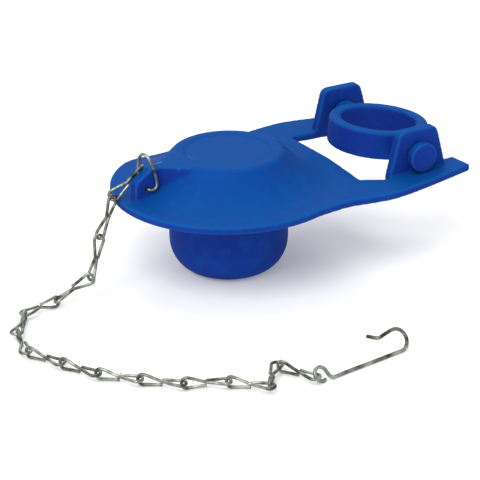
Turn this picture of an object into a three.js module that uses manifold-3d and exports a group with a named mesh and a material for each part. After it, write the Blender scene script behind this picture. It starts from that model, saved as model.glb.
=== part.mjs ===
// Toilet flapper: a rubber valve flap with its overflow-tube collar, lift clip, jack chain and hook.
// Millimetres, +Z up. The origin is the centre of the collar, on the line of its two pins.
// The shapes are worked out from the middle of the bulb's foot, and the whole group is then moved.
// +X runs from the bulb to the collar, and the two arms lie on either side of the XZ plane.
import * as THREE from "three";
import { mergeVertices } from "three/addons/utils/BufferGeometryUtils.js";
import Module from "manifold-3d";

const wasm = await Module();
wasm.setup();

// Bulb
const bulbRadius = 21.4;
const bulbWall = 2.6;
const bulbFloor = 3.2;
const bulbCornerWidth = 10.5;
const bulbCornerHeight = 12;
const drainRadius = 5.5;

// Disc and dome
const discRadius = 42;
const plateThickness = 2.9;
const seatHeight = 30.3;
const rimRound = 0.8;
const domeRadius = 19.3;
const domeHeight = 11.6;
const domeEdgeRound = 0.9;
const domeWall = 3;
const recessRadius = 16.2;
const recessDepth = 0.5;
const chamberRadius = 25.5;
const flareSpread = 20.2;
const flareFullness = 2.15;

// Where the thin rim has sagged, between the fin and the far arm
const sagDepth = 2.8;
const sagMiddle = 96;
const sagSpread = 34;

// Arms and the gap between them
const armBeyondPin = 19.6;
const armEndSkew = 1.2;
const armEndHalfWidth = 31.4;
const armGapFront = 24.2;
const armGapRear = 21.9;
const gapFrontX = 40.2;
const gapFrontBow = 1.4;
const gapCornerRound = 2;
const notchDepth = 3.9;
const notchRound = 1.4;
const waistX = 26.5;
const waistHalfWidth = 37.8;
const hipX = 46;
const hipHalfWidth = 39.7;

// Ears that stand on the arms
const earThickness = 3.6;
const earHeight = 15.9;
const earBeforePin = 12;
const earFrontLean = 4;
const earRearLean = 4.2;
const earTopLength = 15.6;
const earCornerRound = 2.6;
const earFootSink = 1.2;

// Collar, its bosses and pins
const collarBore = 13.9;
const collarWall = 4.3;
const collarHeight = 10.3;
const collarEdgeRound = 0.7;
const collarTurn = 6;
const pinX = 62.8;
const pinAbovePlate = 6.05;
const pinRadius = 3.4;
const pinHoleClearance = 0.7;
const bossRadius = 4.7;
const sideClearance = 0.45;
const headRadius = 5.4;
const headThickness = 3.3;

// Fin and rib on the dome
const finThickness = 4.4;
const finSetback = 4.3;
const finHeight = 11.2;
const finShoulder = 6.8;
const finDraft = 0.5;
const finNose = 6;
const finRootReach = 8.2;
const finRootWidth = 6.2;
const finHoleInset = 4.9;
const finHoleHeight = 4.2;
const ribThickness = 3;
const ribReach = 29;
const ribRise = 0.8;

// Clip wire
const clipWire = 1.1;
const clipHoleClearance = 0.35;
const clipSideGap = 0.4;
const clipHeight = 12.2;
const clipBow = 3.1;
const clipLean = -0.6;
const clipTuck = 1.2;
const chainUpClip = 5.5;

// Jack chain
const chainWire = 1.1;
const linkLength = 17;
const loopRadius = 1.95;
const linkGap = 0.25;
const linkEndGap = 0.08;
const linkEndPast = 0.15;
const chainRest = 2.55;
const firstLying = 4;

// Hook
const hookWire = 1.3;
const hookEyeRadius = 2.3;
const hookShank = 37;
const hookWidth = 7.6;
const hookReturn = 11;
const hookHeading = 8;
const hookTilt = 54;

// How each link lies, from the clip to the hook, in degrees and millimetres.
// heading turns from +X towards +Y, dip is below level, and roll turns the link about its own length.
// slack is how far the link before it has slid into its first loop.
// drop is how far the link hangs below the one before it.
const chainLay = [
  { heading: 180, dip: 37, roll: -46, slack: 0.5, drop: 0 },
  { heading: 201, dip: 57, roll: 5, slack: 0.35, drop: 0 },
  { heading: 214, dip: 61, roll: 28, slack: 0, drop: 0 },
  { heading: 165, dip: 30, roll: 190, slack: 1.2, drop: 1.1 },
  { heading: 192, dip: 0, roll: 180, slack: 0.4, drop: 0 },
  { heading: 234, dip: 0, roll: 0, slack: 0.2, drop: 0 },
  { heading: 258, dip: 0, roll: 0, slack: 0.2, drop: 0 },
  { heading: 296, dip: 0, roll: 0, slack: 0.2, drop: 0 },
  { heading: 298, dip: 0, roll: 0, slack: 0.2, drop: 0 },
  { heading: 314, dip: 0, roll: 0, slack: 0.2, drop: 0 },
  { heading: 318, dip: 0, roll: 0, slack: 0.2, drop: 0 },
  { heading: 335, dip: 0, roll: 0, slack: 0.2, drop: 0 },
  { heading: 317, dip: 0, roll: 0, slack: 0.2, drop: 0 },
  { heading: 50, dip: 0, roll: 0, slack: 0.2, drop: 0 },
  { heading: 296, dip: 0, roll: 0, slack: 0.2, drop: 0 },
];

// Facets
const roundSegments = 60;
const collarSegments = 48;
const smallSegments = 28;
const wireSides = 6;

// Places worked out from the sizes above
const plateTop = seatHeight + plateThickness;
const domeTop = plateTop + domeHeight;
const pinHeight = plateTop + pinAbovePlate;
const armReach = pinX + armBeyondPin;
const earFrontX = pinX - earBeforePin;
const finReach = discRadius - finSetback;
const finHoleX = finReach - finHoleInset;
const collarRadius = collarBore + collarWall;
const earInner = armGapFront - 0.45;
const earOuter = earInner + earThickness;
const pinHoleRadius = pinRadius + pinHoleClearance;
const headInner = earOuter + sideClearance;
const headOuter = headInner + headThickness;
const bossOuter = earInner - sideClearance;
const clipRadius = clipWire / 2;
const clipLegY = finThickness / 2 + clipSideGap + clipRadius;
const finHoleRadius = clipRadius + clipHoleClearance;
const finHoleZ = plateTop + finHoleHeight;
const linkReach = linkLength / 2 - chainWire / 2;
const linkHold = (chainWire + linkGap) / 2;

const degrees = Math.PI / 180;

// A closed geometry as a solid that can be joined and cut
function solidOf(geometry) {
  const bare = geometry.index ? geometry.toNonIndexed() : geometry.clone();
  bare.deleteAttribute("normal");
  bare.deleteAttribute("uv");
  const merged = mergeVertices(bare, 1e-4);
  const corners = merged.index.array;
  const kept = [];
  for (let i = 0; i < corners.length; i += 3) {
    const [a, b, c] = [corners[i], corners[i + 1], corners[i + 2]];
    if (a !== b && b !== c && c !== a) kept.push(a, b, c);
  }
  return new wasm.Manifold(
    new wasm.Mesh({
      numProp: 3,
      vertProperties: merged.attributes.position.array,
      triVerts: new Uint32Array(kept),
    }),
  );
}

function geometryOf(solid) {
  const mesh = solid.getMesh();
  const geometry = new THREE.BufferGeometry();
  geometry.setAttribute(
    "position",
    new THREE.BufferAttribute(new Float32Array(mesh.vertProperties), 3),
  );
  geometry.setIndex(new THREE.BufferAttribute(new Uint32Array(mesh.triVerts), 1));
  const faceted = geometry.toNonIndexed();
  faceted.computeVertexNormals();
  return faceted;
}

// A profile of [radius, height] points turned about the Z axis
function turned(profile, segments) {
  const points = profile.map(([r, z]) => new THREE.Vector2(r, z));
  return new THREE.LatheGeometry(points, segments).rotateX(Math.PI / 2);
}

// An outline in XY given thickness upwards from a height
function raised(shape, from, to, segments = 10) {
  const options = { depth: to - from, bevelEnabled: false, curveSegments: segments };
  return new THREE.ExtrudeGeometry(shape, options).translate(0, 0, from);
}

// An outline in XZ given thickness along Y
function upright(shape, fromY, toY, segments = 10) {
  const options = { depth: toY - fromY, bevelEnabled: false, curveSegments: segments };
  return new THREE.ExtrudeGeometry(shape, options)
    .rotateX(Math.PI / 2)
    .translate(0, toY, 0);
}

// A round bar along Y
function crossBar(radius, x, z, fromY, toY, segments = smallSegments) {
  return new THREE.CylinderGeometry(radius, radius, toY - fromY, segments).translate(
    x,
    (fromY + toY) / 2,
    z,
  );
}

// Wire of round section along a smooth curve through points
function wireThrough(points, thickness, steps) {
  const path = new THREE.CatmullRomCurve3(points, false, "centripetal");
  const section = new THREE.Shape();
  section.absarc(0, 0, thickness / 2, 0, 2 * Math.PI);
  return new THREE.ExtrudeGeometry(section, {
    steps,
    extrudePath: path,
    curveSegments: wireSides / 2,
  });
}

// Points of an arc in a plane, as [across, up]
function arc(centre, radius, from, to, count) {
  return Array.from({ length: count + 1 }, (_, i) => {
    const angle = (from + ((to - from) * i) / count) * degrees;
    return [
      centre[0] + radius[0] * Math.cos(angle),
      centre[1] + radius[1] * Math.sin(angle),
    ];
  });
}

// Height of the dome's flank over the plate at a radius: steep under the crown, then flaring out
function flankHeight(radius) {
  const outward = (radius - domeRadius) / flareSpread;
  return domeHeight * Math.max(0, 1 - outward) ** flareFullness;
}

// The turned part: bulb, disc and dome in one wall, open at the drain hole
function turnedProfile() {
  const cornerCentre = [bulbRadius - bulbCornerWidth, bulbCornerHeight];
  const innerCorner = [
    bulbCornerWidth - bulbWall,
    bulbCornerHeight - bulbFloor,
  ];
  const flank = [];
  const flankSteps = 12;
  const flankEnd = domeRadius + flareSpread;
  for (let i = 0; i <= flankSteps; i += 1) {
    const radius = flankEnd + ((domeRadius + domeEdgeRound / 2 - flankEnd) * i) / flankSteps;
    flank.push([radius, plateTop + flankHeight(radius)]);
  }
  const crownInner = domeTop - domeWall;
  const rim = [rimRound, rimRound];
  const domeEdge = [domeEdgeRound, domeEdgeRound];
  return [
    [0, crownInner],
    [domeRadius - domeWall, crownInner],
    [chamberRadius, plateTop + 1.6],
    [chamberRadius - 1, plateTop],
    [bulbRadius - bulbWall, seatHeight + 0.6],
    ...arc(cornerCentre, innerCorner, 0, -90, 6),
    [drainRadius, bulbFloor],
    [drainRadius, 0],
    ...arc(cornerCentre, [bulbCornerWidth, bulbCornerHeight], -90, 0, 9),
    [bulbRadius, seatHeight],
    [discRadius - rimRound / 2, seatHeight],
    ...arc([discRadius - rimRound, seatHeight + rimRound], rim, -45, 0, 2),
    ...arc([discRadius - rimRound, plateTop - rimRound], rim, 0, 60, 3),
    ...flank,
    ...arc([domeRadius - domeEdgeRound, domeTop - domeEdgeRound], domeEdge, 35, 90, 3),
    [recessRadius, domeTop],
    [recessRadius - recessDepth, domeTop - recessDepth],
    [0, domeTop - recessDepth],
  ];
}

// The arms: the plate's rear outline with the gap cut out between them
function armsShape() {
  const joinAngle = 76 * degrees;
  const joinRadius = discRadius - rimRound;
  const joinX = joinRadius * Math.cos(joinAngle);
  const joinY = joinRadius * Math.sin(joinAngle);
  const side = new THREE.SplineCurve(
    [
      [joinX, joinY],
      [waistX, waistHalfWidth],
      [(waistX + hipX) / 2, (waistHalfWidth + hipHalfWidth) / 2 + 0.3],
      [hipX, hipHalfWidth],
      [hipX + (armReach - hipX) / 3, hipHalfWidth - (hipHalfWidth - armEndHalfWidth) * 0.26],
      [hipX + ((armReach - hipX) * 2) / 3, hipHalfWidth - (hipHalfWidth - armEndHalfWidth) * 0.62],
      [armReach, armEndHalfWidth],
    ].map(([x, y]) => new THREE.Vector2(x, y)),
  ).getPoints(20);
  const corner = [gapCornerRound, gapCornerRound];
  const half = [
    ...side.map((p) => [p.x, p.y]),
    [armReach - armEndSkew, armGapRear],
    ...arc([gapFrontX + gapCornerRound, armGapFront - gapCornerRound], corner, 90, 150, 3),
  ];
  const bow = 5;
  const middle = Array.from({ length: bow }, (_, i) => {
    const across = (1 - (2 * (i + 1)) / (bow + 1)) * (armGapFront - gapCornerRound);
    const share = across / armGapFront;
    return [gapFrontX + gapFrontBow * (1 - share * share), across];
  });
  const other = half.map(([x, y]) => [x, -y]).reverse();
  const notchEnd = -armGapFront - notchDepth;
  const notch = [
    [earFrontX - notchRound * 2, notchEnd + notchRound / 3],
    [earFrontX - notchRound, notchEnd],
    [earFrontX - notchRound / 3, notchEnd + notchRound / 2],
    [earFrontX, notchEnd + notchRound],
    [earFrontX, -earInner],
  ];
  other.splice(other.length - half.length + 4, 0, ...notch);
  const innerRadius = (bulbRadius + discRadius) / 2;
  const back = arc([0, 0], [innerRadius, innerRadius], -76, 76, 10);
  const outline = [...half, ...middle, ...other, ...back];
  return new THREE.Shape(outline.map(([x, y]) => new THREE.Vector2(x, y)));
}

// One ear seen from the side, with its two upper corners rounded
function earShape() {
  const base = plateTop - earFootSink;
  const top = plateTop + earHeight;
  const frontTop = earFrontX + earFrontLean;
  const rearTop = frontTop + earTopLength;
  const rearBase = rearTop + earRearLean;
  const frontSlope = earFrontLean / earHeight;
  const rearSlope = earRearLean / earHeight;
  const shape = new THREE.Shape();
  shape.moveTo(earFrontX, base);
  shape.lineTo(rearBase, base);
  shape.lineTo(rearBase, plateTop);
  shape.lineTo(rearTop + rearSlope * earCornerRound, top - earCornerRound);
  shape.quadraticCurveTo(rearTop, top, rearTop - earCornerRound, top);
  shape.lineTo(frontTop + earCornerRound, top);
  shape.quadraticCurveTo(frontTop, top, frontTop - frontSlope * earCornerRound, top - earCornerRound);
  shape.lineTo(earFrontX, plateTop);
  shape.closePath();
  return shape;
}

// The fin seen from the side, and from above with its root widening into the dome
function finSolid() {
  const base = plateTop - plateThickness / 2;
  const top = plateTop + finHeight;
  const outerTop = finReach - finDraft;
  const root = domeRadius - domeWall / 2;
  const side = new THREE.Shape();
  side.moveTo(-root, base);
  side.lineTo(-root, domeTop);
  side.lineTo(-domeRadius - finRootReach, top);
  side.lineTo(-outerTop + finNose, top);
  side.lineTo(-outerTop + 0.5, plateTop + finShoulder + 0.5);
  side.lineTo(-outerTop, plateTop + finShoulder - 0.5);
  side.lineTo(-finReach, plateTop);
  side.lineTo(-finReach, base);
  side.closePath();

  const half = finThickness / 2;
  const rootHalf = half + finRootWidth;
  const flareStart = domeRadius + finRootReach;
  const flareTurn = domeRadius + finRootReach * 0.72;
  const turnHalf = half + finRootWidth * 0.15;
  const plan = new THREE.Shape();
  plan.moveTo(-finReach - 1, -half);
  plan.lineTo(-flareStart, -half);
  plan.quadraticCurveTo(-flareTurn, -turnHalf, -domeRadius, -rootHalf);
  plan.lineTo(-root + 1, -rootHalf);
  plan.lineTo(-root + 1, rootHalf);
  plan.lineTo(-domeRadius, rootHalf);
  plan.quadraticCurveTo(-flareTurn, turnHalf, -flareStart, half);
  plan.lineTo(-finReach - 1, half);
  plan.closePath();

  const wide = rootHalf + 1;
  const seen = solidOf(upright(side, -wide, wide, 5));
  const above = solidOf(raised(plan, base - 1, top + 1, 5));
  return seen.intersect(above);
}

// The small rib that runs down the dome's flank towards the collar
function ribSolid() {
  const inner = domeRadius - domeWall / 2;
  const steps = 6;
  const side = new THREE.Shape();
  side.moveTo(inner, plateTop - plateThickness / 2);
  side.lineTo(ribReach, plateTop - plateThickness / 2);
  for (let i = 0; i <= steps; i += 1) {
    const x = ribReach + ((domeRadius - ribReach) * i) / steps;
    const rise = ribRise * Math.sin((Math.PI * i) / (steps + 1));
    side.lineTo(x, plateTop + flankHeight(x) + (i === 0 ? 0 : rise));
  }
  side.lineTo(inner, domeTop - domeEdgeRound);
  side.closePath();
  return solidOf(upright(side, -ribThickness / 2, ribThickness / 2));
}

// Lowers the rim on the side where it has sagged, more towards its edge
function sagged(solid) {
  return solid.warp((point) => {
    const outward = (Math.hypot(point[0], point[1]) - bulbRadius) / (discRadius - bulbRadius);
    const away = Math.abs(Math.atan2(point[1], point[0]) / degrees - sagMiddle) / sagSpread;
    if (outward <= 0 || away >= 1) return;
    point[2] -= sagDepth * Math.min(1, outward) * Math.cos((away * Math.PI) / 2) ** 2;
  });
}

function flapperBody() {
  const dome = solidOf(turned(turnedProfile(), roundSegments));
  const arms = solidOf(raised(armsShape(), seatHeight, plateTop));
  let body = sagged(dome.add(arms));
  for (const inner of [earInner, -earOuter]) {
    body = body.add(solidOf(upright(earShape(), inner, inner + earThickness, 4)));
  }
  body = body.add(finSolid()).add(ribSolid());
  const beyond = armGapFront + earThickness + 1;
  const pinHole = crossBar(pinHoleRadius, pinX, pinHeight, -beyond, beyond);
  const clipHole = crossBar(finHoleRadius, -finHoleX, finHoleZ, -finThickness, finThickness, 12);
  return geometryOf(body.subtract(solidOf(pinHole)).subtract(solidOf(clipHole)));
}

// The collar about its own centre: a ring with a boss, a pin and a flat head on each side
function collar() {
  const half = collarHeight / 2;
  const edge = collarEdgeRound;
  const ring = [
    [collarBore, -half + edge],
    [collarBore + edge, -half],
    [collarRadius - edge, -half],
    [collarRadius, -half + edge],
    [collarRadius, half - edge],
    [collarRadius - edge, half],
    [collarBore + edge, half],
    [collarBore, half - edge],
    [collarBore, -half + edge],
  ];
  let solid = solidOf(turned(ring, collarSegments));
  const inside = collarBore + collarWall / 2;
  for (const sign of [1, -1]) {
    const stages = [
      [bossRadius, inside, bossOuter],
      [pinRadius, inside, headInner + headThickness / 2],
      [headRadius, headInner, headOuter],
    ];
    for (const [radius, from, to] of stages) {
      const [low, high] = sign > 0 ? [from, to] : [-to, -from];
      solid = solid.add(solidOf(crossBar(radius, 0, 0, low, high)));
    }
  }
  return geometryOf(solid);
}

// The clip about the fin's hole: an upright loop whose two ends are tucked into the hole
function clip() {
  const y = clipLegY;
  const inHole = finThickness / 2 - clipTuck;
  const points = [
    [0, -inHole, 0],
    [clipWire * 0.1, -y + clipWire * 0.32, 0],
    [clipWire, -y, -clipWire * 0.18],
    [clipBow * 0.77, -y, 0],
    [clipBow, -y, clipWire * 1.1],
    [clipBow * 0.86, -y, clipHeight * 0.4],
    [clipBow * 0.55, -y * 0.94, clipHeight * 0.7],
    [clipBow * 0.3, -y * 0.62, clipHeight * 0.92],
    [clipWire * 0.18, 0, clipHeight],
    [-clipWire * 0.18, y * 0.62, clipHeight * 0.925],
    [clipLean, y * 0.9, clipHeight * 0.79],
    [clipLean, y, clipHeight * 0.6],
    [clipLean, y, clipHeight * 0.3],
    [clipLean / 2, y, clipWire * 0.9],
    [0, y - clipWire * 0.32, 0],
    [0, inHole, 0],
  ].map((p) => new THREE.Vector3(...p));
  return wireThrough(points, clipWire, 44);
}

// One link about its waist. The first loop stands in the XZ plane at -X, the second lies in XY at +X.
// Each loop is a drop shape: one side runs on through the waist, and the other ends beside it.
function linkGeometry() {
  const centre = linkReach - loopRadius;
  const endSide = chainWire + linkEndGap;
  const halfLoop = [
    [-linkEndPast, endSide],
    [linkReach * 0.2, endSide + loopRadius * 0.06],
    [linkReach * 0.4, endSide + loopRadius * 0.14],
    [centre - loopRadius * 0.6, loopRadius * 0.86],
    [centre + loopRadius * 0.35, loopRadius * 0.94],
    [centre + loopRadius * 0.8, loopRadius * 0.6],
    [linkReach, 0],
    [centre + loopRadius * 0.8, -loopRadius * 0.6],
    [centre + loopRadius * 0.35, -loopRadius * 0.94],
    [centre - loopRadius * 0.6, -loopRadius * 0.8],
    [linkReach * 0.35, -loopRadius * 0.45],
    [linkReach * 0.15, -loopRadius * 0.19],
  ];
  const first = halfLoop.map(([along, side]) => new THREE.Vector3(-along, 0, -side));
  const second = halfLoop.map(([along, side]) => new THREE.Vector3(along, side, 0)).reverse();
  return wireThrough([...first, new THREE.Vector3(0, 0, 0), ...second], chainWire, 36);
}

// The hook about the contact in its eye. The eye is at +X, then the shank, and the hook opens towards +Y.
function hookGeometry() {
  const eye = hookEyeRadius;
  const centreX = eye - (hookWire + linkGap) / 2;
  const shankEnd = centreX + hookShank;
  const bend = hookWidth / 2;
  const shankY = -eye;
  const points = [
    ...arc([centreX, 0], [eye, eye], -62, -336, 10),
    [centreX + eye * 1.24, shankY * 0.5],
    [centreX + eye * 1.63, shankY * 0.98],
    [centreX + eye * 2.25, shankY * 1.03],
    [centreX + hookShank * 0.22, shankY * 0.98],
    [centreX + hookShank * 0.48, shankY],
    [shankEnd - bend * 1.8, shankY],
    ...arc([shankEnd - bend, shankY + bend], [bend, bend], -80, 95, 7),
    [shankEnd - bend - hookReturn * 0.41, shankY + hookWidth * 0.92],
    [shankEnd - bend - hookReturn * 0.62, shankY + hookWidth * 0.87],
    [shankEnd - bend - hookReturn, shankY + hookWidth * 1.12],
  ].map(([x, y]) => new THREE.Vector3(x, y, 0));
  return wireThrough(points, hookWire, 60);
}

function material(name, color, roughness, metalness) {
  const made = new THREE.MeshStandardMaterial({ color, roughness, metalness });
  made.name = name;
  return made;
}

const blueRubber = material("blue_rubber", 0x12479f, 0.55, 0);
const zincWire = material("zinc_wire", 0x9a9d8c, 0.38, 0.9);

function piece(name, geometry, finish) {
  const mesh = new THREE.Mesh(geometry, finish);
  mesh.name = name;
  return mesh;
}

// Turns a group's +X to a heading and a dip, rolled about that direction
function aim(object, heading, dip, roll) {
  object.rotation.order = "ZYX";
  object.rotation.set(roll * degrees, dip * degrees, heading * degrees);
  return new THREE.Vector3(1, 0, 0).applyEuler(object.rotation);
}

function chain() {
  const group = new THREE.Group();
  const shape = linkGeometry();
  const legTop = new THREE.Vector3(-finHoleX + clipLean, clipLegY, finHoleZ + chainUpClip);
  let hold = -(clipRadius + linkGap / 2);
  let eye = legTop;
  chainLay.forEach(({ heading, dip, roll, slack, drop }, i) => {
    const link = piece(`chain_link_${String(i + 1).padStart(2, "0")}`, shape, zincWire);
    const along = aim(link, heading, dip, roll);
    link.position.copy(eye).addScaledVector(along, hold + linkReach - linkHold - slack);
    link.position.z -= drop;
    if (i === firstLying) link.position.z = chainRest;
    group.add(link);
    eye = link.position.clone().addScaledVector(along, linkReach - loopRadius);
    hold = loopRadius - linkHold;
  });
  const hook = piece("chain_hook", hookGeometry(), zincWire);
  const shank = aim(hook, hookHeading, 0, hookTilt);
  hook.position.copy(eye).addScaledVector(shank, hold);
  group.add(hook);
  return group;
}

const flapper = new THREE.Group();
flapper.add(piece("flapper_body", flapperBody(), blueRubber));

const ring = piece("overflow_collar", collar(), blueRubber);
ring.position.set(pinX, 0, pinHeight);
ring.rotation.y = collarTurn * degrees;
flapper.add(ring);

const clipPiece = piece("fin_clip", clip(), zincWire);
clipPiece.position.set(-finHoleX, 0, finHoleZ);
flapper.add(clipPiece);

flapper.add(chain());
flapper.position.set(-pinX, 0, -pinHeight);

const part = new THREE.Group();
part.add(flapper);

export default part;
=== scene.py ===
import math

import bpy
from mathutils import Matrix, Vector


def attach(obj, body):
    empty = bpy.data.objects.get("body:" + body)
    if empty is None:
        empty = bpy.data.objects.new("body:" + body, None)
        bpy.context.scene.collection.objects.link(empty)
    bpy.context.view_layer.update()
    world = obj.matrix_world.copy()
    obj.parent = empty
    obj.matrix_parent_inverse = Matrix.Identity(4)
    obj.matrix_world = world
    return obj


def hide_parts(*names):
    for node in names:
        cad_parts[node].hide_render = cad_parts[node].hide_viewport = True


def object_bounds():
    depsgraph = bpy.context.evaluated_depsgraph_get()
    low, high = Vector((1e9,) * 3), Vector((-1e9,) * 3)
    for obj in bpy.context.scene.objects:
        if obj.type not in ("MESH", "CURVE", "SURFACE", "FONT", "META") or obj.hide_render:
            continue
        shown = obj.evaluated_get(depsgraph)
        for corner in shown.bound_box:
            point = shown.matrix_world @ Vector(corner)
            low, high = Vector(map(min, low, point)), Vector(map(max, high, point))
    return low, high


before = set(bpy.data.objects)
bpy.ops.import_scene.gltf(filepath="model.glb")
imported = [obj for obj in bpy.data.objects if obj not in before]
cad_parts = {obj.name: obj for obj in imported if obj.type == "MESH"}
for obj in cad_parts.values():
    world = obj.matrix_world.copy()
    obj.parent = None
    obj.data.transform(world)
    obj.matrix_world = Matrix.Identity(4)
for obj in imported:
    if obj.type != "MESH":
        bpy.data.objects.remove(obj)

cad_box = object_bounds()

MM = 0.001
scene = bpy.context.scene

# The row's origin is the collar's centre. Sizes below are in millimetres from the middle of
# the bulb's foot.
PIN_X = 62.8
PIN_HEIGHT = 39.25


def place(x, y, z):
    """A point given from the bulb's foot, as a point of the row frame in metres."""
    return Vector(((x - PIN_X) * MM, y * MM, (z - PIN_HEIGHT) * MM))


def add_object(name, data):
    made = bpy.data.objects.new(name, data)
    scene.collection.objects.link(made)
    return made


# Camera, at the photo's angle

AZIMUTH = math.radians(-28.85)
ELEVATION = math.radians(24.49)
ROLL = math.radians(-0.71)
DISTANCE = 0.7079
TARGET = place(4.6, 0, 8.6)
LENS = 146.94
SENSOR_WIDTH = 36
CLIP_START = 0.01


def add_camera():
    back = Vector((
        math.sin(AZIMUTH) * math.cos(ELEVATION),
        -math.cos(AZIMUTH) * math.cos(ELEVATION),
        math.sin(ELEVATION),
    ))
    level = Vector((math.cos(AZIMUTH), math.sin(AZIMUTH), 0))
    upward = back.cross(level)
    right = level * math.cos(ROLL) + upward * math.sin(ROLL)
    up = upward * math.cos(ROLL) - level * math.sin(ROLL)
    data = bpy.data.cameras.new("camera")
    data.sensor_width = SENSOR_WIDTH
    data.lens = LENS
    data.clip_start = CLIP_START
    made = add_object("camera", data)
    turn = Matrix((right, up, back)).transposed().to_4x4()
    made.matrix_world = Matrix.Translation(TARGET + back * DISTANCE) @ turn
    scene.camera = made


add_camera()


# Nodes

# The sockets of a Mix node that mixes colours
MIX_SHARE = 0
MIX_LOW = 6
MIX_HIGH = 7
MIX_RESULT = 2


def new_material(name):
    made = bpy.data.materials.new(name)
    made.use_nodes = True
    return made, made.node_tree, made.node_tree.nodes["Principled BSDF"]


def feed(tree, value, socket):
    """Links a node's output to the socket, or sets the socket to a plain value."""
    if isinstance(value, bpy.types.NodeSocket):
        tree.links.new(value, socket)
    else:
        socket.default_value = value


def noise(tree, where, scale, detail, roughness):
    made = tree.nodes.new("ShaderNodeTexNoise")
    made.inputs["Scale"].default_value = scale
    made.inputs["Detail"].default_value = detail
    made.inputs["Roughness"].default_value = roughness
    tree.links.new(where, made.inputs["Vector"])
    return made.outputs["Fac"]


def spread(tree, value, span, result):
    """The value's place in the span, as the same place in the result, and held at its ends."""
    made = tree.nodes.new("ShaderNodeMapRange")
    made.clamp = True
    made.inputs["From Min"].default_value = span[0]
    made.inputs["From Max"].default_value = span[1]
    made.inputs["To Min"].default_value = result[0]
    made.inputs["To Max"].default_value = result[1]
    tree.links.new(value, made.inputs["Value"])
    return made.outputs["Result"]


def blend_color(tree, share, low, high):
    """From the low colour to the high one, by the share."""
    made = tree.nodes.new("ShaderNodeMix")
    made.data_type = "RGBA"
    feed(tree, share, made.inputs[MIX_SHARE])
    feed(tree, low, made.inputs[MIX_LOW])
    feed(tree, high, made.inputs[MIX_HIGH])
    return made.outputs[MIX_RESULT]


def calculate(tree, operation, first, second=0.0):
    made = tree.nodes.new("ShaderNodeMath")
    made.operation = operation
    feed(tree, first, made.inputs[0])
    feed(tree, second, made.inputs[1])
    return made.outputs[0]


def split(tree, vector):
    made = tree.nodes.new("ShaderNodeSeparateXYZ")
    tree.links.new(vector, made.inputs[0])
    return made.outputs


def add_bumps(tree, shader, layers):
    """Layers of height, each with a strength and a depth in millimetres, one over the other."""
    normal = None
    for height, strength, depth in layers:
        made = tree.nodes.new("ShaderNodeBump")
        made.inputs["Strength"].default_value = strength
        made.inputs["Distance"].default_value = depth * MM
        tree.links.new(height, made.inputs["Height"])
        if normal is not None:
            tree.links.new(normal, made.inputs["Normal"])
        normal = made.outputs["Normal"]
    tree.links.new(normal, shader.inputs["Normal"])


# Rubber

# Cloud tones of the rubber, then painted top light, a colour for worn patches and the painted
# edge highlight, painted shade for hollows, and the fin edge's painted highlight
BLUE_DEEP = (0.006, 0.024, 0.20, 1)
BLUE_MID = (0.004, 0.033, 0.25, 1)
BLUE_TOP_LIGHT = (0.0005, 0.058, 0.262, 1)
BLUE_WORN_AND_HIGHLIGHT = (0.002, 0.115, 0.37, 1)
BLUE_HOLLOW_SHADE = (0.004, 0.014, 0.085, 1)
FIN_HIGHLIGHT_COLOR = (0.13, 0.30, 0.60, 1)

# Each noise has a scale per metre, a detail and a roughness.
RUBBER_CLOUD = (32.0, 4.0, 0.55)
RUBBER_PATCH = (160.0, 3.0, 0.6)
RUBBER_GRAIN = (1700.0, 2.0, 0.6)

# The noise values between which one tone of the clouds gives way to the other
CLOUD_SPAN = (0.36, 0.66)

# What faces up is painted lighter, as painted top light. Patches are worn, raised edges are
# painted lighter as a painted highlight, and hollows are painted darker as painted shade.
TOP_LIGHT_FACING = (0.15, 0.9)
TOP_LIGHT_MOST = 0.9
WORN_PATCH = (0.5, 0.78)
WORN_PATCH_MOST = 0.22
EDGE_HIGHLIGHT = (0.508, 0.545)
EDGE_HIGHLIGHT_MOST = 0.38
HOLLOW_SHADE = (0.46, 0.495)
HOLLOW_SHADE_MOST = 0.45
RUBBER_ROUGHNESS = (0.6, 0.75)
RUBBER_SHINE = 0.05

# The fin's far top edge, painted pale along a narrow line as a painted highlight
FIN_EDGE_Y = 2.1
FIN_ROOT_X = -26
FIN_TOP_Z = 44.4
HIGHLIGHT_HALF_WIDTH = (0.2, 0.55)
HIGHLIGHT_RUN_OUT = 1.5
HIGHLIGHT_DEPTH = (0.9, 0.3)
HIGHLIGHT_MOST = 0.75


def fin_highlight_line(tree, where):
    """How much of the fin edge's painted highlight shows at each point."""
    axes = split(tree, where)
    root = (FIN_ROOT_X - PIN_X) * MM
    top = (FIN_TOP_Z - PIN_HEIGHT) * MM
    aside = calculate(tree, "SUBTRACT", axes["Y"], FIN_EDGE_Y * MM)
    aside = calculate(tree, "ABSOLUTE", aside)
    near = spread(tree, aside, [width * MM for width in HIGHLIGHT_HALF_WIDTH], (1, 0))
    on_fin = spread(tree, axes["X"], (root, root + HIGHLIGHT_RUN_OUT * MM), (1, 0))
    high = spread(tree, axes["Z"], [top - depth * MM for depth in HIGHLIGHT_DEPTH], (0, 1))
    line = calculate(tree, "MULTIPLY", calculate(tree, "MULTIPLY", near, on_fin), high)
    return calculate(tree, "MULTIPLY", line, HIGHLIGHT_MOST)


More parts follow.
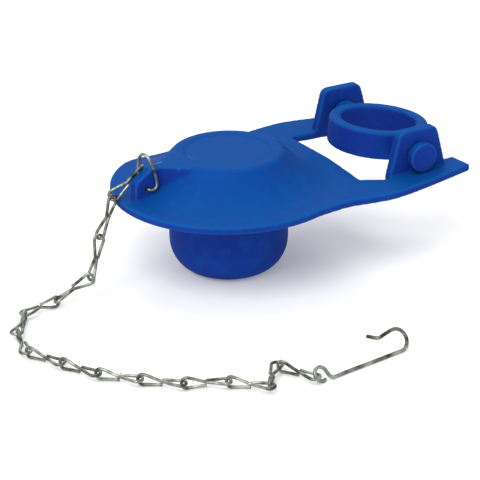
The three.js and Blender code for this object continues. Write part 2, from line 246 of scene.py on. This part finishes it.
def rubber_material(name, has_fin):
    made, tree, shader = new_material(name)
    where = tree.nodes.new("ShaderNodeTexCoord").outputs["Object"]
    surface = tree.nodes.new("ShaderNodeNewGeometry").outputs
    cloud = noise(tree, where, *RUBBER_CLOUD)
    patch = noise(tree, where, *RUBBER_PATCH)
    grain = noise(tree, where, *RUBBER_GRAIN)
    color = blend_color(tree, spread(tree, cloud, CLOUD_SPAN, (0, 1)), BLUE_DEEP, BLUE_MID)
    upward = split(tree, surface["Normal"])["Z"]
    # Faces that face up are painted lighter, as painted top light.
    painted_top_light = spread(tree, upward, TOP_LIGHT_FACING, (0, TOP_LIGHT_MOST))
    color = blend_color(tree, painted_top_light, color, BLUE_TOP_LIGHT)
    worn = spread(tree, patch, WORN_PATCH, (0, WORN_PATCH_MOST))
    color = blend_color(tree, worn, color, BLUE_WORN_AND_HIGHLIGHT)
    # Raised edges are painted lighter, as a painted highlight. The same colour also serves the
    # worn patches.
    rim_highlight = spread(tree, surface["Pointiness"], EDGE_HIGHLIGHT, (0, EDGE_HIGHLIGHT_MOST))
    color = blend_color(tree, rim_highlight, color, BLUE_WORN_AND_HIGHLIGHT)
    # Hollows are painted darker, as painted shade.
    hollow_shade = spread(tree, surface["Pointiness"], HOLLOW_SHADE, (HOLLOW_SHADE_MOST, 0))
    color = blend_color(tree, hollow_shade, color, BLUE_HOLLOW_SHADE)
    if has_fin:
        # The fin's far top edge gets a painted highlight.
        color = blend_color(tree, fin_highlight_line(tree, where), color, FIN_HIGHLIGHT_COLOR)
    tree.links.new(color, shader.inputs["Base Color"])
    rough = spread(tree, patch, (0.3, 0.75), RUBBER_ROUGHNESS)
    tree.links.new(rough, shader.inputs["Roughness"])
    shader.inputs["Specular IOR Level"].default_value = RUBBER_SHINE
    add_bumps(tree, shader, ((patch, 0.25, 0.25), (grain, 0.35, 0.06)))
    return made


# Zinc plated wire

# Two cloud tones of the zinc, and painted shade for the wire's hollows
WIRE_PALE = (0.34, 0.37, 0.30)
WIRE_DULL = (0.04, 0.048, 0.034)
WIRE_HOLLOW_SHADE = (0.07, 0.07, 0.05, 1)
WIRE_CLOUD = (240.0, 3.0, 0.6)
WIRE_GRAIN = (2600.0, 2.0, 0.6)
WIRE_ROUGHNESS = (0.46, 0.28)
WIRE_METAL = 0.8
HOOK_TINT = 0.92


def wire_material(name, tint):
    made, tree, shader = new_material(name)
    where = tree.nodes.new("ShaderNodeTexCoord").outputs["Object"]
    cloud = noise(tree, where, *WIRE_CLOUD)
    grain = noise(tree, where, *WIRE_GRAIN)
    pale = (*(channel * tint for channel in WIRE_PALE), 1)
    dull = (*(channel * tint for channel in WIRE_DULL), 1)
    color = blend_color(tree, spread(tree, cloud, CLOUD_SPAN, (0, 1)), dull, pale)
    # Hollows of the wire are painted darker, as painted shade.
    edge = tree.nodes.new("ShaderNodeNewGeometry").outputs["Pointiness"]
    color = blend_color(tree, spread(tree, edge, (0.42, 0.49), (0.5, 0)), color, WIRE_HOLLOW_SHADE)
    tree.links.new(color, shader.inputs["Base Color"])
    rough = spread(tree, cloud, (0.3, 0.7), WIRE_ROUGHNESS)
    tree.links.new(rough, shader.inputs["Roughness"])
    shader.inputs["Metallic"].default_value = WIRE_METAL
    add_bumps(tree, shader, ((cloud, 0.2, 0.05), (grain, 0.3, 0.02)))
    return made


def add_piece(name, mesh, finish):
    made = add_object(name, mesh)
    mesh.materials.clear()
    mesh.materials.append(finish)
    for face in mesh.polygons:
        face.use_smooth = True
    return made


# Rubber mouldings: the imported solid's own form with the soft edges of a moulding

WELD = 0.002
SOFTEN_ROUNDS = 4
SOFTEN_FACTOR = 0.5


def moulding(node, name, finish, voxel, keep):
    """Voxels are in millimetres, and keep is the share of the faces that stays."""
    work = add_object(name + "_work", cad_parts[node].data.copy())
    weld = work.modifiers.new("weld", "WELD")
    weld.merge_threshold = WELD * MM
    remesh = work.modifiers.new("remesh", "REMESH")
    remesh.mode = "VOXEL"
    remesh.voxel_size = voxel * MM
    remesh.adaptivity = 0
    soften = work.modifiers.new("soften", "SMOOTH")
    soften.factor = SOFTEN_FACTOR
    soften.iterations = SOFTEN_ROUNDS
    fewer = work.modifiers.new("fewer", "DECIMATE")
    fewer.ratio = keep
    depsgraph = bpy.context.evaluated_depsgraph_get()
    mesh = bpy.data.meshes.new_from_object(work.evaluated_get(depsgraph))
    mesh.name = name
    bpy.data.objects.remove(work)
    made = add_piece(name, mesh, finish)
    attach(made, node)
    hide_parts(node)


moulding("flapper_body", "flapper_moulding", rubber_material("blue_rubber", True), 0.5, 0.55)
moulding("overflow_collar", "collar_moulding", rubber_material("collar_rubber", False), 0.4, 0.7)


# Wires

SPAN_STEPS = 24
WIRE_SIDES = 14
END_NOSE = 0.3
END_RADIUS = 0.72


def between(a, b, share):
    return a + (b - a) * share


def fine_curve(points):
    """A centripetal curve through the points, the same as the solids'."""
    first = points[0] * 2 - points[1]
    last = points[-1] * 2 - points[-2]
    full = [first, *points, last]
    fine = []
    for i in range(len(points) - 1):
        p = full[i:i + 4]
        t = [0.0]
        for k in range(3):
            t.append(t[-1] + max((p[k + 1] - p[k]).length, 1e-9) ** 0.5)
        for j in range(SPAN_STEPS):
            at = t[1] + (t[2] - t[1]) * j / SPAN_STEPS
            a = [between(p[k], p[k + 1], (at - t[k]) / (t[k + 1] - t[k])) for k in range(3)]
            b = [between(a[k], a[k + 1], (at - t[k]) / (t[k + 2] - t[k])) for k in range(2)]
            fine.append(between(b[0], b[1], (at - t[1]) / (t[2] - t[1])))
    fine.append(points[-1].copy())
    return fine


def even_path(fine, steps):
    """The same curve in steps of equal length."""
    lengths = [0.0]
    for one, other in zip(fine, fine[1:]):
        lengths.append(lengths[-1] + (other - one).length)
    even = []
    k = 0
    for i in range(steps + 1):
        at = lengths[-1] * i / steps
        while k < len(fine) - 2 and lengths[k + 1] < at:
            k += 1
        share = (at - lengths[k]) / (lengths[k + 1] - lengths[k])
        even.append(between(fine[k], fine[k + 1], share))
    return even


def wire_rings(path, radius):
    """Rings of centre, radius, side and tangent that don't twist, with softly rounded ends."""
    tangents = []
    for i in range(len(path)):
        ahead = path[min(i + 1, len(path) - 1)]
        behind = path[max(i - 1, 0)]
        tangents.append((ahead - behind).normalized())
    side = tangents[0].orthogonal().normalized()
    rings = []
    for i, tangent in enumerate(tangents):
        if i:
            side = tangents[i - 1].rotation_difference(tangent) @ side
            side = (side - tangent * side.dot(tangent)).normalized()
        rings.append((path[i], radius, side, tangent))
    nose = END_NOSE * radius
    start, end = rings[0], rings[-1]
    rings[0] = (start[0] + start[3] * nose, radius, start[2], start[3])
    rings[-1] = (end[0] - end[3] * nose, radius, end[2], end[3])
    rings.insert(0, (start[0], radius * END_RADIUS, start[2], start[3]))
    rings.append((end[0], radius * END_RADIUS, end[2], end[3]))
    return rings


def wire_mesh(name, points, thickness, steps):
    """A round wire along the points."""
    rings = wire_rings(even_path(fine_curve(points), steps), thickness / 2)
    vertices = []
    for centre, radius, side, tangent in rings:
        other = tangent.cross(side)
        for k in range(WIRE_SIDES):
            angle = 2 * math.pi * k / WIRE_SIDES
            out = side * math.cos(angle) + other * math.sin(angle)
            vertices.append(tuple((centre + out * radius) * MM))
    faces = []
    for i in range(len(rings) - 1):
        near, far = i * WIRE_SIDES, (i + 1) * WIRE_SIDES
        for k in range(WIRE_SIDES):
            n = (k + 1) % WIRE_SIDES
            faces.append((near + k, near + n, far + n, far + k))
    faces.append(tuple(reversed(range(WIRE_SIDES))))
    faces.append(tuple((len(rings) - 1) * WIRE_SIDES + k for k in range(WIRE_SIDES)))
    mesh = bpy.data.meshes.new(name)
    mesh.from_pydata(vertices, [], faces)
    mesh.update()
    return mesh


def add_wire(name, mesh, turned, finish, node):
    mesh.transform(turned)
    made = add_piece(name, mesh, finish)
    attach(made, node)
    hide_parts(node)


def arc_points(centre, radius, start, stop, count):
    """Points on an arc in the hook's plane, from one angle in degrees to the other."""
    made = []
    for i in range(count + 1):
        angle = math.radians(start + (stop - start) * i / count)
        made.append((centre[0] + radius * math.cos(angle), centre[1] + radius * math.sin(angle)))
    return made


zinc = wire_material("zinc_wire", 1.0)
zinc_hook = wire_material("zinc_hook", HOOK_TINT)


# Clip wire, about the fin's hole

FIN_HALF = 2.2
FIN_HOLE = (-32.8, 0, 37.4)
CLIP_WIRE = 1.1
CLIP_SIDE_GAP = 0.4
CLIP_LEG_Y = FIN_HALF + CLIP_SIDE_GAP + CLIP_WIRE / 2
CLIP_HEIGHT = 12.2
CLIP_BOW = 3.1
CLIP_LEAN = -0.6
END_IN_HOLE = FIN_HALF - 1.2
CLIP_STEPS = 110

clip_points = [
    (0, -END_IN_HOLE, 0),
    (CLIP_WIRE * 0.1, -CLIP_LEG_Y + CLIP_WIRE * 0.32, 0),
    (CLIP_WIRE, -CLIP_LEG_Y, -CLIP_WIRE * 0.18),
    (CLIP_BOW * 0.77, -CLIP_LEG_Y, 0),
    (CLIP_BOW, -CLIP_LEG_Y, CLIP_WIRE * 1.1),
    (CLIP_BOW * 0.86, -CLIP_LEG_Y, CLIP_HEIGHT * 0.4),
    (CLIP_BOW * 0.55, -CLIP_LEG_Y * 0.94, CLIP_HEIGHT * 0.7),
    (CLIP_BOW * 0.3, -CLIP_LEG_Y * 0.62, CLIP_HEIGHT * 0.92),
    (CLIP_WIRE * 0.18, 0, CLIP_HEIGHT),
    (-CLIP_WIRE * 0.18, CLIP_LEG_Y * 0.62, CLIP_HEIGHT * 0.925),
    (CLIP_LEAN, CLIP_LEG_Y * 0.9, CLIP_HEIGHT * 0.79),
    (CLIP_LEAN, CLIP_LEG_Y, CLIP_HEIGHT * 0.6),
    (CLIP_LEAN, CLIP_LEG_Y, CLIP_HEIGHT * 0.3),
    (CLIP_LEAN / 2, CLIP_LEG_Y, CLIP_WIRE * 0.9),
    (0, CLIP_LEG_Y - CLIP_WIRE * 0.32, 0),
    (0, END_IN_HOLE, 0),
]
clip_mesh = wire_mesh("clip_wire", [Vector(p) for p in clip_points], CLIP_WIRE, CLIP_STEPS)
add_wire("clip_wire", clip_mesh, Matrix.Translation(place(*FIN_HOLE)), zinc, "fin_clip")


# Chain, laid by the same rule as the solids

CHAIN_WIRE = 1.1
LINK_REACH = 7.95
LOOP_RADIUS = 1.95
LOOP_CENTRE = LINK_REACH - LOOP_RADIUS
LINK_GAP = 0.25
LINK_HOLD = (CHAIN_WIRE + LINK_GAP) / 2
LINK_END_PAST = 0.15
END_SIDE = CHAIN_WIRE + 0.08
LINK_STEPS = 96
CHAIN_UP_CLIP = 5.5
CHAIN_REST = 2.55
FIRST_LYING = 4

# Each link's heading, dip and roll in degrees, and its slack and drop in millimetres
LAY = [
    (180, 37, -46, 0.5, 0),
    (201, 57, 5, 0.35, 0),
    (214, 61, 28, 0, 0),
    (165, 30, 190, 1.2, 1.1),
    (192, 0, 180, 0.4, 0),
    (234, 0, 0, 0.2, 0),
    (258, 0, 0, 0.2, 0),
    (296, 0, 0, 0.2, 0),
    (298, 0, 0, 0.2, 0),
    (314, 0, 0, 0.2, 0),
    (318, 0, 0, 0.2, 0),
    (335, 0, 0, 0.2, 0),
    (317, 0, 0, 0.2, 0),
    (50, 0, 0, 0.2, 0),
    (296, 0, 0, 0.2, 0),
]

# One loop of a link, from its free end back to the waist
half_loop = [
    (-LINK_END_PAST, END_SIDE),
    (LINK_REACH * 0.2, END_SIDE + LOOP_RADIUS * 0.06),
    (LINK_REACH * 0.4, END_SIDE + LOOP_RADIUS * 0.14),
    (LOOP_CENTRE - LOOP_RADIUS * 0.6, LOOP_RADIUS * 0.86),
    (LOOP_CENTRE + LOOP_RADIUS * 0.35, LOOP_RADIUS * 0.94),
    (LOOP_CENTRE + LOOP_RADIUS * 0.8, LOOP_RADIUS * 0.6),
    (LINK_REACH, 0),
    (LOOP_CENTRE + LOOP_RADIUS * 0.8, -LOOP_RADIUS * 0.6),
    (LOOP_CENTRE + LOOP_RADIUS * 0.35, -LOOP_RADIUS * 0.94),
    (LOOP_CENTRE - LOOP_RADIUS * 0.6, -LOOP_RADIUS * 0.8),
    (LINK_REACH * 0.35, -LOOP_RADIUS * 0.45),
    (LINK_REACH * 0.15, -LOOP_RADIUS * 0.19),
]
link_points = [Vector((-along, 0, -aside)) for along, aside in half_loop]
link_points.append(Vector((0, 0, 0)))
link_points += [Vector((along, aside, 0)) for along, aside in reversed(half_loop)]


def aimed(heading, dip, roll):
    return (
        Matrix.Rotation(math.radians(heading), 3, "Z")
        @ Matrix.Rotation(math.radians(dip), 3, "Y")
        @ Matrix.Rotation(math.radians(roll), 3, "X")
    )


def set_at(point, turn):
    return Matrix.Translation(place(*point)) @ turn.to_4x4()


def lay_chain():
    """Hangs each link in the one before, and gives what the hook hangs in."""
    eye = Vector((FIN_HOLE[0] + CLIP_LEAN, CLIP_LEG_Y, FIN_HOLE[2] + CHAIN_UP_CLIP))
    hold = -(CLIP_WIRE + LINK_GAP) / 2
    for i, (heading, dip, roll, slack, drop) in enumerate(LAY):
        turn = aimed(heading, dip, roll)
        along = turn @ Vector((1, 0, 0))
        middle = eye + along * (hold + LINK_REACH - LINK_HOLD - slack)
        middle.z -= drop
        if i == FIRST_LYING:
            middle.z = CHAIN_REST
        number = f"{i + 1:02d}"
        mesh = wire_mesh("link_wire_" + number, link_points, CHAIN_WIRE, LINK_STEPS)
        turned = set_at(middle, turn)
        add_wire("link_wire_" + number, mesh, turned, zinc, "chain_link_" + number)
        eye = middle + along * LOOP_CENTRE
        hold = LOOP_RADIUS - LINK_HOLD
    return eye, hold


# Hook

HOOK_WIRE = 1.3
HOOK_HEADING = 8
HOOK_TILT = 54
HOOK_EYE = 2.3
HOOK_SHANK = 37
HOOK_WIDTH = 7.6
HOOK_RETURN = 11
HOOK_STEPS = 170


def add_hook(eye, hold):
    turn = aimed(HOOK_HEADING, 0, HOOK_TILT)
    contact = eye + turn @ Vector((1, 0, 0)) * hold
    eye_x = HOOK_EYE - (HOOK_WIRE + LINK_GAP) / 2
    shank_end = eye_x + HOOK_SHANK
    bend = HOOK_WIDTH / 2
    points = arc_points((eye_x, 0), HOOK_EYE, -62, -336, 10)
    points += [
        (eye_x + HOOK_EYE * 1.24, -HOOK_EYE * 0.5),
        (eye_x + HOOK_EYE * 1.63, -HOOK_EYE * 0.98),
        (eye_x + HOOK_EYE * 2.25, -HOOK_EYE * 1.03),
        (eye_x + HOOK_SHANK * 0.22, -HOOK_EYE * 0.98),
        (eye_x + HOOK_SHANK * 0.48, -HOOK_EYE),
        (shank_end - bend * 1.8, -HOOK_EYE),
    ]
    points += arc_points((shank_end - bend, -HOOK_EYE + bend), bend, -80, 95, 7)
    points += [
        (shank_end - bend - HOOK_RETURN * 0.41, -HOOK_EYE + HOOK_WIDTH * 0.92),
        (shank_end - bend - HOOK_RETURN * 0.62, -HOOK_EYE + HOOK_WIDTH * 0.87),
        (shank_end - bend - HOOK_RETURN, -HOOK_EYE + HOOK_WIDTH * 1.12),
    ]
    mesh = wire_mesh("hook_wire", [Vector((x, y, 0)) for x, y in points], HOOK_WIRE, HOOK_STEPS)
    add_wire("hook_wire", mesh, set_at(contact, turn), zinc_hook, "chain_hook")


add_hook(*lay_chain())


# Floor

FLOOR_Z = cad_box[0][2] - 0.02 * MM
FLOOR_REACH = 4.0
FLOOR_PALE = (0.82, 0.82, 0.82, 1)
FLOOR_GLOW = 0.17
FLOOR_ROUGHNESS = 0.9
FLOOR_SHINE = 0.1
WHITE = (1, 1, 1, 1)

corners = ((-1, -1), (1, -1), (1, 1), (-1, 1))
floor_mesh = bpy.data.meshes.new("floor")
floor_mesh.from_pydata(
    [(x * FLOOR_REACH, y * FLOOR_REACH, FLOOR_Z) for x, y in corners], [], [(0, 1, 2, 3)]
)
floor_paint, _, floor_shader = new_material("floor")
floor_shader.inputs["Base Color"].default_value = FLOOR_PALE
floor_shader.inputs["Emission Color"].default_value = WHITE
floor_shader.inputs["Emission Strength"].default_value = FLOOR_GLOW
floor_shader.inputs["Roughness"].default_value = FLOOR_ROUGHNESS
floor_shader.inputs["Specular IOR Level"].default_value = FLOOR_SHINE
floor_mesh.materials.append(floor_paint)
floor = add_object("floor", floor_mesh)


# Lights, with their power, size, place and colour

LIGHTS_AIM = Vector((-0.06, -0.01, -0.02))
PLAIN_LIGHT = (1.0, 1.0, 1.0)
WARM_LIGHT = (1.0, 0.99, 0.97)
LIGHTS = {
    "key": (12.0, 0.9, (-0.75, -0.55, 1.05), PLAIN_LIGHT),
    "fill": (1.4, 1.0, (0.95, -0.75, 0.7), WARM_LIGHT),
    "low": (2.6, 0.7, (-0.95, -0.62, 0.16), PLAIN_LIGHT),
    "rear": (6.0, 0.8, (0.3, 0.95, 1.0), PLAIN_LIGHT),
}

for name, (power, size, where, color) in LIGHTS.items():
    data = bpy.data.lights.new(name, "AREA")
    data.energy = power
    data.shape = "DISK"
    data.size = size
    data.color = color
    light = add_object(name, data)
    light.location = where
    light.rotation_mode = "QUATERNION"
    light.rotation_quaternion = (LIGHTS_AIM - Vector(where)).to_track_quat("-Z", "Y")


# White surroundings for the camera, at a plain level for the object

AMBIENT = 0.72

world = bpy.data.worlds.new("surroundings")
world.use_nodes = True
scene.world = world
background = world.node_tree.nodes["Background"]
background.inputs["Color"].default_value = WHITE
seen = world.node_tree.nodes.new("ShaderNodeLightPath").outputs["Is Camera Ray"]
strength = spread(world.node_tree, seen, (0, 1), (AMBIENT, 1.0))
world.node_tree.links.new(strength, background.inputs["Strength"])

scene.view_settings.view_transform = "Standard"
scene.view_settings.look = "None"
